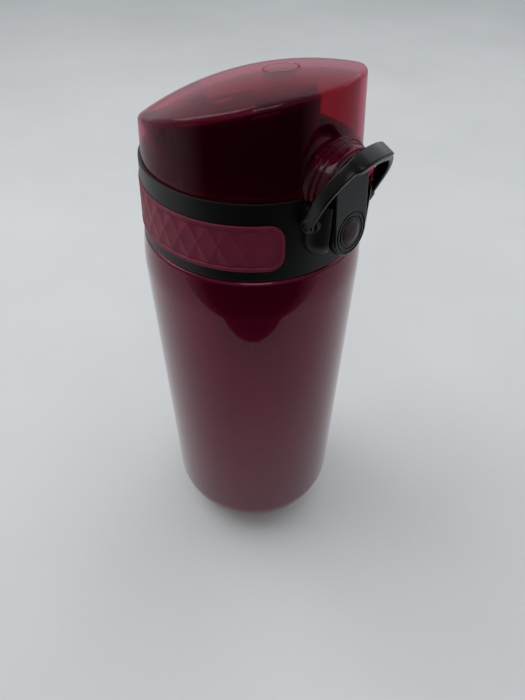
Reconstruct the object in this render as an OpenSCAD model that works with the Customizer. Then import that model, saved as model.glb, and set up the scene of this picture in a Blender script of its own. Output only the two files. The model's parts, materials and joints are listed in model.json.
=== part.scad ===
// Steel drinking bottle: a threaded body, a screw cap with soft grips, a sprung flip lid over a spout,
// a rocking push latch and a swinging lock hoop.
// +Z is up and the origin is the centre of the base, on the floor. The latch faces -Y, the hinge is at +Y.

/* [Bottle body] */
// Outside radius of the straight wall
body_r = 36; // [35.5:0.1:37]
// Height at which the straight wall ends and the shoulder begins
straight_h = 136.5; // [100:0.5:200]
// Wall thickness of the steel
wall = 0.6; // [0.5:0.05:0.8]
// Rounding between the wall and the base
base_round = 20; // [10:0.5:24]
// Pitch of the cap thread, one turn
pitch = 4; // [3.8:0.1:4.4]

/* [Collar] */
// Height of the black collar ring
collar_h = 23; // [22.5:0.1:23.5]
// Height of the grip inlays
grip_h = 14; // [12:0.5:15]
// Angle from the front at which each grip starts
grip_start = 29; // [27:1:36]

/* [Lid] */
// Slope of the lid's top, high side at the latch
lid_tilt = 16.2; // [15.5:0.1:17]
// Height of the dome above the lid's edge plane
dome_h = 5.6; // [5.2:0.1:6]
// Thickness of the lid's wall
lid_wall = 1.7; // [1.4:0.1:2]

/* [Latch] */
// Radius of the lid's nose over the latch
nose_r = 11; // [10.8:0.1:11.2]
// Half width of the latch lever
lever_w = 7; // [6.6:0.1:7.2]
// Lean of the lever, its foot standing further out than its head
lever_lean = 6; // [4:0.5:7]

/* [Lock hoop] */
// Lean of the hoop away from upright, as the bottle stands
hoop_lean = 24; // [20:1:28]
// Outside half width of the hoop
hoop_w = 13.6; // [13.6:0.1:14]
// Height of the hoop above its pivot
hoop_h = 20.2; // [20:0.1:21]

/* [Hidden] */
$fn = 96;
eps = 0.01;

// Bottle: the shoulder is a wide arc that ends in a small rounding under the collar.
shoulder_r = 58.8;
shoulder_h = 13;
corner_r = 1.5;
corner_z = straight_h + shoulder_h - corner_r;
corner_x = body_r - shoulder_r + sqrt(pow(shoulder_r, 2) - pow(shoulder_h - corner_r, 2)) - corner_r;
neck_r = body_r - 8.6;
neck_top = straight_h + 29.5;
rim_r = 1;
punt_r = 11;
punt_h = 1.2;

// Thread: the ridges on the neck and in the cap lie half a pitch apart.
thread_turns = 1.25;
thread_steps = 24;
thread_z = straight_h + 18;
thread_h = 1.6;
neck_thread_r = neck_r + 1.2;
cap_thread_r = neck_r + 0.55;

// Collar ring, tapering upward.
collar_z = straight_h + 13.5;
collar_top = collar_z + collar_h;
collar_r0 = body_r - 1.45;
collar_r1 = body_r - 2.95;
collar_wall = 1.7;
shelf_bore = collar_r1 - 2.85;

// Cap insert and its deck.
insert_r = body_r - 5;
insert_bore = insert_r - 1.8;
insert_z = collar_z + 2.8;
deck_top = straight_h + 33.9;
seal_gap = 0.03;
seal_h = 1.15;
deck_under = neck_top + seal_h + 2 * seal_gap;
spigot_r = 11.5;
spigot_y = -2;

// Grip inlays.
grip_z = collar_z + 3.1;
grip_depth = 1;
grip_proud = 0.35;
grip_border = 1.3;
grip_corner = 4.5;

// Spout: an egg outline, wide at the back and narrow at the mouth.
egg_back_r = 19;
egg_back_y = 9;
egg_front_r = 9;
egg_front_y = -13;
spout_wall = 2;
spout_top = straight_h + 48.7;
mouth_r = 5.6;
mouth_lip = 1.2;
vent_y = 12;
vent_r = 1.6;
gasket_wire = 0.6;
gasket_r = spigot_r + gasket_wire + 0.1;

// Lid: a tapering wall closed by a sphere cap, both leaning back with the lid's tilt.
lid_z = collar_top + 0.25;
lid_r = body_r - 3.75;
lid_taper = tan(4.5);
lid_rise = 32;
lid_roof = 2.2;
edge_z = collar_top + 15.9;
dome_a = lid_r - 0.75;
dome_r = (pow(dome_a, 2) + pow(dome_h, 2)) / (2 * dome_h);
dome_y = -(dome_r - dome_h) * sin(lid_tilt);
dome_z = edge_z - (dome_r - dome_h) * cos(lid_tilt);

// Seal post, measured square to the spout's sloping top.
carrier_z = 2.8;
carrier_h = 1.3;
carrier_r = 8.8;
post_r = 3;
post_step = 6.9;
pip_r = 4.4;

// Nose at the front of the lid.
nose_z = collar_top + 0.2;
nose_root = 6 - body_r;
nose_front = -(body_r + 0.4);
nose_wall = 1.8;
nose_skirt_z = collar_top - 0.9;
tunnel_depth = 3.5;
ledge_h = 1.8;

// Hinge at the back, and its torsion spring.
running = 0.05;
hinge_y = body_r - 0.8;
hinge_z = collar_top - 0.8;
hinge_r = 3.1;
hinge_pin_r = 1.25;
knuckle_lid = 4.2;
knuckle_gap = 0.2;
knuckle_w = 3.6;
coil_r = 2.1;
spring_wire = 0.4;
lid_spring_x = 3.15;

// Latch lever and the cheeks beside it.
lever_t = 2.7;
lever_face = -(body_r + 2.1);
lever_eye_z = collar_top - 11.6;
lever_y = -(body_r - 0.4);
lever_z = collar_top - 5.2;
lever_pin_r = 0.75;
lever_pin_grip = 1.4;
lever_barrel_r = 1.95;
lever_head_r = nose_r - nose_wall - 0.5;
eye_r = 6;
lens_r = 3.4;
lens_seat = 1.3;
spring_room = 2.6;
spring_seat = ring_r(lever_eye_z) - 1;
cheek_x = 6.2;
cheek_y = 3.6 - body_r;
cheek_r = 5.6;
cheek_top = collar_top - 1.3;
cheek_low = collar_z + 5.3;
slot_w = lever_w + 1;

// Lock hoop and the ears that carry it.
hoop_y = 2.4 - body_r;
hoop_z = collar_top - 6;
hoop_t = 1.6;
hoop_depth = 3.6;
hoop_foot_r = 2.2;
hoop_pin_r = 1;
ear_x = 9.7;
ear_w = 2.15;
ear_r = 2.6;

// A ridge that climbs one pitch a turn, as short level steps.
module thread(r_root, r_crest, z) {
    step = 360 / thread_steps;
    for (i = [0 : thread_steps * thread_turns - 1])
        rotate([0, 0, i * step])
            translate([0, 0, z + pitch * i / thread_steps])
                rotate_extrude(angle = step + 0.4)
                    polygon([[r_root, -thread_h / 2], [r_crest, -thread_h / 4],
                             [r_crest, thread_h / 4], [r_root, thread_h / 2]]);
}

// The half section of everything within the bottle, shrunk by t.
module bottle_section(t) {
    translate([0, t])
        square([body_r - base_round, base_round]);
    intersection() {
        translate([body_r - base_round, base_round])
            circle(base_round - t);
        square([body_r, base_round]);
    }
    translate([0, base_round])
        square([body_r - t, straight_h - base_round]);
    intersection() {
        translate([body_r - shoulder_r, straight_h])
            circle(shoulder_r - t, $fn = 360);
        translate([0, straight_h])
            square([body_r, shoulder_h - corner_r]);
    }
    translate([0, corner_z - 1])
        square([corner_x, corner_r + 1 - t]);
    translate([corner_x, corner_z])
        circle(corner_r - t);
    translate([0, corner_z])
        square([neck_r - t, neck_top - corner_z - rim_r + 2 * t]);
}

module bottle_body() {
    color("#5c1022") {
        rotate_extrude() {
            difference() {
                bottle_section(0);
                square([punt_r, punt_h]);
                difference() {
                    bottle_section(wall);
                    square([punt_r + wall, punt_h + wall]);
                }
            }
            translate([neck_r - rim_r, neck_top - rim_r])
                circle(rim_r);
        }
        thread(neck_r - wall / 2, neck_thread_r, thread_z);
    }
}

module neck_seal() {
    color("#d9d7d2")
    rotate_extrude()
        translate([neck_r - 2.6, neck_top + seal_gap])
            square([3.6, seal_h]);
}

// Outside radius of the collar ring at height z.
function ring_r(z) = collar_r0 - (z - collar_z) * (collar_r0 - collar_r1) / collar_h;

module cap_insert() {
    bead_z = collar_z + 10;
    color("#26292b") {
        difference() {
            union() {
                translate([0, 0, insert_z])
                    cylinder(r = insert_r, h = deck_top - insert_z);
                translate([0, 0, bead_z])
                    cylinder(r = ring_r(bead_z + 1) - collar_wall - running, h = 1);
            }
            translate([0, 0, insert_z - 1])
                cylinder(r = insert_bore, h = deck_under - insert_z + 1);
            translate([0, spigot_y, insert_z])
                cylinder(r = spigot_r + running, h = deck_top);
        }
        thread(insert_bore + 0.3, cap_thread_r, thread_z + pitch / 2);
    }
}

// The part of a ring between two heights, from depth d0 outside the collar's face to depth d1 outside it.
module ring_band(z0, z1, d0, d1) {
    rotate_extrude()
        polygon([[ring_r(z0) + d0, z0], [ring_r(z0) + d1, z0], [ring_r(z1) + d1, z1], [ring_r(z1) + d0, z1]]);
}

// A sector of the +X side, as wide as the grip less cut degrees at each end.
module grip_sector(cut, z0, z1) {
    from = grip_start + cut;
    rotate([0, 0, from - 90])
        rotate_extrude(angle = 180 - 2 * from)
            translate([body_r - 8, z0])
                square([12, z1 - z0]);
}

// The grip's outline on the +X side, shrunk by inset, with round corners.
module grip_window(inset) {
    z0 = grip_z + inset;
    z1 = grip_z + grip_h - inset;
    corner = grip_corner - inset;
    inset_deg = inset / collar_r0 * 180 / PI;
    corner_deg = corner / collar_r0 * 180 / PI;
    grip_sector(inset_deg + corner_deg, z0, z1);
    grip_sector(inset_deg, z0 + corner, z1 - corner);
    for (a = [grip_start + inset_deg + corner_deg, 180 - grip_start - inset_deg - corner_deg])
        for (z = [z0 + corner, z1 - corner])
            rotate([0, 0, a - 90])
                translate([body_r - 8, 0, z])
                    rotate([0, 90, 0])
                        cylinder(r = corner, h = 12);
}

module grip() {
    difference() {
        intersection() {
            ring_band(grip_z, grip_z + grip_h, -grip_depth + running, grip_proud);
            grip_window(running);
        }
        intersection() {
            ring_band(grip_z, grip_z + grip_h, 0, grip_proud + 1);
            grip_window(grip_border);
        }
    }
}

module grip_right() {
    color("#6d1a30")
    grip();
}

module grip_left() {
    color("#6d1a30")
    mirror([1, 0, 0])
        grip();
}

// A bar along X between two places, mirrored to both sides of the bottle.
module bar_pair(x0, x1, y, z, r) {
    for (side = [0, 1])
        mirror([side, 0, 0])
            translate([x0, y, z])
                rotate([0, 90, 0])
                    cylinder(r = r, h = x1 - x0);
}

// The round-ended housing around the lever's slot, with the ears that carry the hoop.
module cheeks() {
    knee_z = cheek_low + cheek_r;
    difference() {
        union() {
            for (side = [-1, 1]) {
                translate([side * cheek_x, cheek_y, knee_z])
                    cylinder(r = cheek_r, h = cheek_top - knee_z);
                translate([side * cheek_x, cheek_y, knee_z])
                    sphere(cheek_r);
            }
            bar_pair(0, cheek_x, cheek_y, knee_z, cheek_r);
            bar_pair(ear_x, ear_x + ear_w, hoop_y, hoop_z, ear_r);
        }
        translate([0, -2 * body_r, lever_eye_z])
            rotate([-90, 0, 0])
                cylinder(r = slot_w, h = 2 * body_r);
        translate([-slot_w, -2 * body_r, lever_eye_z])
            cube([2 * slot_w, 2 * body_r, collar_h]);
        bar_pair(ear_x - 0.1, ear_x + ear_w + 1, hoop_y, hoop_z, hoop_pin_r);
        bar_pair(0, slot_w + lever_pin_grip, lever_y, lever_z, lever_pin_r);
        translate([0, 0, collar_z])
            cylinder(r1 = collar_r0 - collar_wall, r2 = collar_r1 - collar_wall, h = collar_h);
    }
}

module collar() {
    knuckle_x = knuckle_lid + knuckle_w + knuckle_gap;
    color("#1d2022")
    difference() {
        union() {
            ring_band(collar_z, collar_top, -collar_wall, 0);
            translate([0, 0, deck_top + running])
                cylinder(r = collar_r1 - eps, h = collar_top - deck_top - running);
            cheeks();
            bar_pair(knuckle_x, knuckle_x + knuckle_w, hinge_y, hinge_z, hinge_r);
            for (side = [0, 1])
                mirror([side, 0, 0])
                    translate([knuckle_x, collar_r0 - collar_wall - 1.4, hinge_z - hinge_r])
                        cube([knuckle_w, hinge_y - collar_r0 + collar_wall + 1.4, hinge_r]);
        }
        translate([0, 0, deck_top])
            cylinder(r = shelf_bore, h = collar_h);
        for (side = [0, 1])
            mirror([side, 0, 0])
                intersection() {
                    ring_band(grip_z, grip_z + grip_h, -grip_depth, 2);
                    grip_window(0);
                }
        translate([-knuckle_x, hinge_y, hinge_z])
            rotate([0, 90, 0])
                cylinder(r = hinge_r + 0.3, h = 2 * knuckle_x);
        bar_pair(0, knuckle_x + knuckle_w + 1, hinge_y, hinge_z, hinge_pin_r);
        translate([0, -body_r - 4, lever_eye_z])
            rotate([-90, 0, 0])
                cylinder(r = spring_room, h = body_r + 4 - spring_seat);
        translate([-lid_spring_x, hinge_y - coil_r - 2, hinge_z - coil_r])
            rotate([-90, 0, 0])
                cylinder(r = spring_wire + running, h = coil_r + 2);
    }
}

// The egg outline of the spout, shrunk by t: two circles and the strip between their common tangents.
module egg(t) {
    gap = egg_back_y - egg_front_y;
    lean = acos((egg_back_r - egg_front_r) / gap);
    back = egg_back_r - t;
    front = egg_front_r - t;
    translate([0, egg_back_y])
        circle(back);
    translate([0, egg_front_y])
        circle(front);
    polygon([[back * sin(lean), egg_back_y - back * cos(lean)],
             [front * sin(lean), egg_front_y - front * cos(lean)],
             [-front * sin(lean), egg_front_y - front * cos(lean)],
             [-back * sin(lean), egg_back_y - back * cos(lean)]]);
}

// Everything under the spout's sloping top, lowered by t.
module under_slope(t) {
    translate([0, 0, spout_top])
        rotate([-lid_tilt, 0, 0])
            translate([-2 * body_r, -2 * body_r, -4 * body_r - t])
                cube([4 * body_r, 4 * body_r, 4 * body_r]);
}

// Places children on the spout's sloping top, y along the slope from the bottle's axis, with +Z square to it.
module on_slope(y) {
    translate([0, y, spout_top - y * tan(lid_tilt)])
        rotate([-lid_tilt, 0, 0])
            children();
}

module spout() {
    floor_z = deck_top + running;
    color("#1b1c1f")
    difference() {
        union() {
            intersection() {
                translate([0, 0, floor_z])
                    linear_extrude(collar_h)
                        egg(0);
                under_slope(0);
            }
            on_slope(egg_front_y)
                translate([0, 0, -1])
                    cylinder(r = mouth_r + 1.8, h = mouth_lip + 1);
            translate([0, spigot_y, deck_under - 2])
                cylinder(r = spigot_r, h = floor_z - deck_under + 3);
        }
        intersection() {
            translate([0, 0, floor_z + spout_wall])
                linear_extrude(collar_h)
                    egg(spout_wall);
            under_slope(spout_wall);
        }
        on_slope(egg_front_y)
            translate([0, 0, -2 * spout_wall])
                cylinder(r = mouth_r, h = 4 * spout_wall);
        on_slope(vent_y)
            translate([0, 0, -2 * spout_wall])
                cylinder(r = vent_r, h = 3 * spout_wall);
        translate([0, spigot_y, deck_under - 3])
            cylinder(r = spigot_r - spout_wall, h = floor_z + spout_wall - deck_under + 4);
        translate([0, spigot_y, floor_z - 1])
            difference() {
                cylinder(r = gasket_r + gasket_wire + running, h = 1 + 2 * gasket_wire);
                cylinder(r = spigot_r, h = 2 + 2 * gasket_wire);
            }
    }
}

module spout_gasket() {
    color("#c9c7c3")
    translate([0, spigot_y, deck_top + gasket_wire + running])
        rotate_extrude()
            translate([gasket_r, 0])
                circle(gasket_wire);
}

module vent_valve() {
    color("#c9c7c3")
    on_slope(vent_y) {
        translate([0, 0, running])
            cylinder(r = 2 * vent_r, h = 0.8);
        translate([0, 0, -spout_wall - 0.8 - running])
            cylinder(r = vent_r - running, h = spout_wall + 1.2);
        translate([0, 0, -spout_wall - 0.8 - running])
            cylinder(r = 1.8 * vent_r, h = 0.8);
    }
}

// The lid's outline closed by its dome, shrunk by side at the wall and by roof at the top.
module lid_form(side, roof) {
    intersection() {
        translate([0, 0, lid_z])
            cylinder(r1 = lid_r - side, r2 = lid_r - side - lid_rise * lid_taper, h = lid_rise);
        translate([0, dome_y, dome_z])
            rotate([90, 0, 0])
                sphere(dome_r - roof, $fn = 240);
    }
}

// A half round along Y from y0 to y1, standing on the plane z.
module nose_step(r, y0, y1, z) {
    intersection() {
        translate([0, y0, nose_z])
            rotate([-90, 0, 0])
                cylinder(r = r, h = y1 - y0);
        translate([-r, y0, z])
            cube([2 * r, y1 - y0, 2 * r]);
    }
}

module lid_shell() {
    color("#8c1034", 0.6)
    difference() {
        union() {
            difference() {
                union() {
                    lid_form(0, 0);
                    nose_step(nose_r + 1.1, nose_root - 2.4, nose_root, lid_z);
                    nose_step(nose_r + 0.5, nose_root - 3.8, nose_root, lid_z);
                    nose_step(nose_r, nose_front, nose_root, lid_z);
                    nose_step(nose_r, nose_front, -collar_r1 - 0.5, nose_skirt_z);
                    bar_pair(knuckle_lid, knuckle_lid + knuckle_w, hinge_y, hinge_z, hinge_r);
                    for (side = [0, 1])
                        mirror([side, 0, 0])
                            translate([knuckle_lid, lid_r - lid_wall, lid_z])
                                cube([knuckle_w, hinge_y - lid_r + lid_wall, hinge_z + hinge_r - lid_z]);
                }
                translate([0, nose_front - 1, nose_z])
                    rotate([-90, 0, 0])
                        cylinder(r = nose_r - nose_wall, h = tunnel_depth + 1);
            }
            translate([-nose_r + 1, nose_front + tunnel_depth - 1.1, lid_z])
                cube([2 * nose_r - 2, 2, ledge_h]);
        }
        translate([0, 0, -eps])
            lid_form(lid_wall, lid_roof);
        bar_pair(knuckle_lid - 1, knuckle_lid + knuckle_w + 1, hinge_y, hinge_z, hinge_pin_r + running);
        translate([lid_spring_x - 0.7, 0, lid_z - 1])
            cube([1.4, body_r, hinge_z + coil_r + spring_wire + 0.2 - lid_z + 1]);
        on_slope(egg_front_y) {
            translate([0, 0, post_step])
                cylinder(r = pip_r + running, h = 10);
            cylinder(r = post_r + running, h = 10);
        }
    }
}

module seal_post() {
    color("#8c1034", 0.6)
    on_slope(egg_front_y) {
        translate([0, 0, carrier_z])
            cylinder(r = carrier_r, h = carrier_h);
        translate([0, 0, carrier_z - 1.2])
            cylinder(r = 1.5, h = 2);
        translate([0, 0, carrier_z])
            cylinder(r = post_r, h = post_step - carrier_z + 0.5);
    }
    color("#8c1034", 0.6)
    intersection() {
        on_slope(egg_front_y)
            translate([0, 0, post_step + running])
                cylinder(r = pip_r, h = 6);
        translate([0, dome_y, dome_z])
            rotate([90, 0, 0])
                sphere(dome_r, $fn = 240);
    }
}

module lid_seal() {
    color("#d9d7d2")
    on_slope(egg_front_y)
        difference() {
            union() {
                translate([0, 0, mouth_lip + running])
                    cylinder(r = carrier_r - 0.5, h = carrier_z - mouth_lip - 2 * running);
                translate([0, 0, -0.6])
                    cylinder(r1 = mouth_r - 0.6, r2 = mouth_r - 0.3, h = mouth_lip + 1);
            }
            translate([0, 0, carrier_z - 1.25])
                cylinder(r = 1.55, h = 3);
        }
}

module lid_hinge_pin() {
    reach = knuckle_lid + 2 * knuckle_w + knuckle_gap;
    color("#b9bcc0")
    translate([-reach, hinge_y, hinge_z])
        rotate([0, 90, 0])
            cylinder(r = hinge_pin_r, h = 2 * reach);
}

// A coil about Z: level half turns, each tipped so that its end meets the next one's start.
module coil(r, wire, rise, halves) {
    for (i = [0 : halves - 1])
        translate([0, 0, rise * i / 2])
            rotate([0, asin(rise / (4 * r)), 180 * i])
                rotate_extrude(angle = 180)
                    translate([r, 0])
                        circle(wire, $fn = 24);
}

module lid_spring() {
    halves = 7;
    rise = 4 * lid_spring_x / halves;
    color("#c4c7ca") {
        translate([-lid_spring_x + rise / 4, hinge_y, hinge_z])
            rotate([0, 90, 0])
                coil(coil_r, spring_wire, rise, halves);
        translate([-lid_spring_x, hinge_y - coil_r - 1.2, hinge_z - coil_r])
            rotate([-90, 0, 0])
                cylinder(r = spring_wire, h = coil_r + 1.2);
        translate([lid_spring_x, lid_r - lid_wall - 0.6, hinge_z + coil_r])
            rotate([-90, 0, 0])
                cylinder(r = spring_wire, h = hinge_y - lid_r + lid_wall + 0.6);
    }
}

// Tips the lever about its pin, its foot outward.
module lever_place() {
    translate([0, lever_y, lever_z])
        rotate([-lever_lean, 0, 0])
            translate([0, -lever_y, -lever_z])
                children();
}

module lever_outline() {
    translate([0, lever_eye_z])
        circle(lever_w);
    translate([-lever_w, lever_eye_z])
        square([2 * lever_w, nose_z - lever_eye_z]);
    intersection() {
        translate([0, nose_z])
            circle(lever_head_r);
        translate([-lever_w, nose_z - 1])
            square([2 * lever_w, 2 * lever_head_r]);
    }
}

// A groove ring in the lever's face around the eye.
module eye_groove(r) {
    translate([0, lever_face - 1, lever_eye_z])
        rotate([-90, 0, 0])
            difference() {
                cylinder(r = r, h = 1.35);
                cylinder(r = r - 0.5, h = 2);
            }
}

module latch_lever() {
    color("#1d2022")
    lever_place()
        difference() {
            union() {
                translate([0, lever_face + lever_t, 0])
                    rotate([90, 0, 0])
                        linear_extrude(lever_t)
                            lever_outline();
                translate([-lever_w, lever_y, lever_z])
                    rotate([0, 90, 0])
                        cylinder(r = lever_barrel_r, h = 2 * lever_w);
                translate([-5, lever_face + lever_t - 1, nose_z + 2.6])
                    cube([10, 1.45, 1.6]);
            }
            translate([-lever_w - 1, lever_y, lever_z])
                rotate([0, 90, 0])
                    cylinder(r = lever_pin_r + running, h = 2 * lever_w + 2);
            eye_groove(eye_r);
            eye_groove(eye_r - 1.2);
            translate([0, lever_face - 1, lever_eye_z])
                rotate([-90, 0, 0])
                    cylinder(r = lens_r + running, h = 1 + lens_seat);
            translate([0, lever_face + lever_t - 0.7, lever_eye_z])
                rotate([-90, 0, 0])
                    cylinder(r = spring_room, h = 2);
        }
}

module latch_lens() {
    lens_bulge = 7;
    color("#9c1030", 0.8)
    lever_place()
        intersection() {
            translate([0, lever_face - 1, lever_eye_z])
                rotate([-90, 0, 0])
                    cylinder(r = lens_r, h = 1 + lens_seat - running);
            translate([0, lever_face - 1.1 + lens_bulge, lever_eye_z])
                sphere(lens_bulge);
        }
}

module latch_pin() {
    reach = slot_w + lever_pin_grip - 0.1;
    color("#b9bcc0")
    translate([-reach, lever_y, lever_z])
        rotate([0, 90, 0])
            cylinder(r = lever_pin_r, h = 2 * reach);
}

module latch_spring() {
    wire = 0.3;
    rise = 0.86;
    color("#c4c7ca")
    translate([0, -spring_seat - wire - rise / 4 - running, lever_eye_z])
        rotate([90, 0, 0])
            coil(1.9, wire, rise, 7);
}

// The hoop's outline in its own plane, shrunk by t: a half round on two straight legs.
module arch(t) {
    intersection() {
        union() {
            translate([0, hoop_h - hoop_w])
                circle(hoop_w - t);
            translate([-hoop_w + t, 0])
                square([2 * (hoop_w - t), hoop_h - hoop_w]);
        }
        translate([-hoop_w + t, 0])
            square([2 * (hoop_w - t), hoop_h + 1]);
    }
}

module lock_hoop() {
    lip_w = 6.5;
    color("#1d2022")
    translate([0, hoop_y, hoop_z])
        rotate([hoop_lean, 0, 0])
            difference() {
                union() {
                    translate([0, hoop_depth / 2, 0])
                        rotate([90, 0, 0])
                            linear_extrude(hoop_depth)
                                arch(0);
                    bar_pair(hoop_w - hoop_t, hoop_w, 0, 0, hoop_foot_r);
                    intersection() {
                        rotate([90, 0, 0])
                            linear_extrude(hoop_depth / 2 + 1)
                                arch(-0.8);
                        translate([-lip_w, -hoop_depth, 0])
                            cube([2 * lip_w, 2 * hoop_depth, hoop_h + 2]);
                    }
                }
                translate([0, hoop_depth, -0.01])
                    rotate([90, 0, 0])
                        linear_extrude(2 * hoop_depth)
                            arch(hoop_t);
                translate([-hoop_w + hoop_t, -hoop_depth, -hoop_depth])
                    cube([2 * (hoop_w - hoop_t), 2 * hoop_depth, hoop_depth + 0.5]);
                bar_pair(ear_x, hoop_w + 1, 0, 0, hoop_pin_r + running);
            }
}

module hoop_pins() {
    color("#3a3d40")
    bar_pair(ear_x, hoop_w - 0.3, hoop_y, hoop_z, hoop_pin_r);
}

bottle_body();
neck_seal();
cap_insert();
collar();
grip_left();
grip_right();
spout();
spout_gasket();
vent_valve();
lid_shell();
seal_post();
lid_seal();
lid_hinge_pin();
lid_spring();
latch_lever();
latch_lens();
latch_pin();
latch_spring();
lock_hoop();
hoop_pins();
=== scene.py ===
# Visual model of the water bottle: CAD frame, finished surfaces, light box and camera.
import bpy
import bmesh
import json
import math
import numpy as np
from mathutils import Matrix, Vector


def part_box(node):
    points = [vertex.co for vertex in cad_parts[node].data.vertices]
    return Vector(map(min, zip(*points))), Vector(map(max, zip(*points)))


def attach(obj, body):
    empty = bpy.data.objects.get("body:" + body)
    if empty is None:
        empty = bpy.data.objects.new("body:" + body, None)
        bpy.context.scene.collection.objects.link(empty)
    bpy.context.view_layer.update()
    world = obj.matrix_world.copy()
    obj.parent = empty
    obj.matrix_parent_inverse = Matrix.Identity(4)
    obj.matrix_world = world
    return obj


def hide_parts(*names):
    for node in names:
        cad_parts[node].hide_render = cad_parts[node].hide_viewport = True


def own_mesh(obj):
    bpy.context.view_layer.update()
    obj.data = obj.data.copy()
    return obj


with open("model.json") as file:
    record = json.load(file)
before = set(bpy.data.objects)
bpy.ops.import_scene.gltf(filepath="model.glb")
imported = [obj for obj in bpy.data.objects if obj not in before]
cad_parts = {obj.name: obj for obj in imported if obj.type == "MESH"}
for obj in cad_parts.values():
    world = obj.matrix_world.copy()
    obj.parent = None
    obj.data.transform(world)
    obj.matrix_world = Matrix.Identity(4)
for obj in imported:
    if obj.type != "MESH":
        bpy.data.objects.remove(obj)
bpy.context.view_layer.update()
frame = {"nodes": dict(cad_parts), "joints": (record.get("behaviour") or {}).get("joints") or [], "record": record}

MM = 0.001
pi = math.pi


def box_mm(node):
    lo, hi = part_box(node)
    return [v / MM for v in lo], [v / MM for v in hi]


# ---------------------------------------------------------------- sizes taken from the CAD frame, in mm
body_hi = box_mm("bottle_body")[1]
collar_lo = box_mm("collar")[0]
grip_lo, grip_hi = box_mm("grip_right")
spring_lo, spring_hi = box_mm("latch_spring")
hoop_hi = box_mm("lock_hoop")[1]
joints = {j["name"]: j for j in frame["joints"]}
HINGE, LEVER, HOOP = [[v / MM for v in joints[name]["pos_m"]]
                      for name in ("lid_hinge", "latch_press", "hoop_swing")]

BODY_R = body_hi[0]
NECK_TOP = body_hi[2]
STRAIGHT = NECK_TOP - 29.5
BASE_R = 20.0
WALL = 0.6
SHOULDER_R, SHOULDER_H, SHOULDER_EDGE = 58.8, 13.0, 1.5
NECK_R = BODY_R - 8.6
NECK_FOOT = STRAIGHT + SHOULDER_H
THREAD_TURNS, THREAD_PITCH, THREAD_STEPS, THREAD_FADE = 1.25, 4.0, 120, 8.0
THREAD_Z = STRAIGHT + 18
RING_H = 23.0
RING_Z0 = collar_lo[2]
RING_Z1 = RING_Z0 + RING_H
RING_R0 = BODY_R - 1.45
RING_R1 = BODY_R - 2.95
LID_Z = RING_Z1 + 0.25
LID_R = BODY_R - 3.75
LID_TAPER = math.tan(math.radians(4.5))
LID_WALL, LID_ROOF, LID_FILLET = 1.7, 2.2, 1.5
TILT = math.radians(16.2)
DOME_H = 5.6
EDGE_Z = RING_Z1 + 15.9
NOSE_R = 11.0
NOSE_Z = RING_Z1 + 0.2
NOSE_ROOT = 6.0 - BODY_R
NOSE_FRONT = -(BODY_R + 0.4)
EYE_Z = RING_Z1 - 11.6
LENS_R = 3.4
FACE_Y = -(BODY_R + 2.1)
LEVER_W = 7.0
LEAN = math.radians(6.0)
HOOP_LEAN = math.radians(24.0)
HOOP_W = hoop_hi[0]
HOOP_H = HOOP_W + 6.6
SPOUT_TOP = STRAIGHT + 48.7
POST_Y = -13.0


def ring_r(z):
    return RING_R0 - (z - RING_Z0) * (RING_R0 - RING_R1) / RING_H


# ---------------------------------------------------------------- mesh helpers
def make(name, verts, faces, sharp=32.0):
    me = bpy.data.meshes.new(name)
    me.from_pydata([tuple(c * MM for c in v) for v in verts], [], faces)
    me.validate()
    me.update()
    for p in me.polygons:
        p.use_smooth = True
    me.set_sharp_from_angle(angle=math.radians(sharp))
    ob = bpy.data.objects.new(name, me)
    bpy.context.scene.collection.objects.link(ob)
    return ob


def arc(cx, cy, r, a0, a1, n):
    """Points on an arc, angles in degrees, both ends included."""
    return [(cx + r * math.cos(math.radians(a0 + (a1 - a0) * i / n)),
             cy + r * math.sin(math.radians(a0 + (a1 - a0) * i / n))) for i in range(n + 1)]


def rounded(points, radii, n=6):
    """A closed outline with each corner rounded by its own radius."""
    out = []
    count = len(points)
    for i in range(count):
        p = np.array(points[i], float)
        a = np.array(points[i - 1], float) - p
        b = np.array(points[(i + 1) % count], float) - p
        r = radii[i] if isinstance(radii, (list, tuple)) else radii
        la, lb = np.linalg.norm(a), np.linalg.norm(b)
        if r <= 0 or la < 1e-9 or lb < 1e-9:
            out.append(tuple(p))
            continue
        a, b = a / la, b / lb
        half = math.acos(max(-1.0, min(1.0, float(a @ b)))) / 2
        if half > pi / 2 - 0.01:
            out.append(tuple(p))
            continue
        reach = min(r / math.tan(half), 0.49 * la, 0.49 * lb)
        rr = reach * math.tan(half)
        centre = p + (a + b) / np.linalg.norm(a + b) * rr / math.sin(half)
        p0, p1 = p + a * reach - centre, p + b * reach - centre
        ang = math.acos(max(-1.0, min(1.0, float(p0 @ p1) / (rr * rr))))
        for k in range(n + 1):
            s = k / n
            v = (math.sin((1 - s) * ang) * p0 + math.sin(s * ang) * p1) / math.sin(ang)
            out.append(tuple(centre + v))
    return out


def lathe_data(profile, steps=192, closed=True):
    """Turns an outline of (radius, height) about Z. Points on the axis become one vertex."""
    verts, rings = [], []
    for r, z in profile:
        if abs(r) < 1e-6:
            rings.append([len(verts)] * steps)
            verts.append((0.0, 0.0, z))
        else:
            rings.append(list(range(len(verts), len(verts) + steps)))
            verts.extend((r * math.cos(2 * pi * k / steps), r * math.sin(2 * pi * k / steps), z)
                         for k in range(steps))
    faces = []
    last = len(profile) if closed else len(profile) - 1
    for i in range(last):
        lo, hi = rings[i], rings[(i + 1) % len(profile)]
        for k in range(steps):
            f = []
            for v in (lo[k], lo[(k + 1) % steps], hi[(k + 1) % steps], hi[k]):
                if v not in f:
                    f.append(v)
            if len(f) > 2:
                faces.append(tuple(f))
    return verts, faces


def join(*parts):
    verts, faces = [], []
    for v, f in parts:
        base = len(verts)
        verts.extend(v)
        faces.extend(tuple(base + i for i in face) for face in f)
    return verts, faces


def moved(data, fn):
    return [fn(v) for v in data[0]], data[1]


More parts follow.
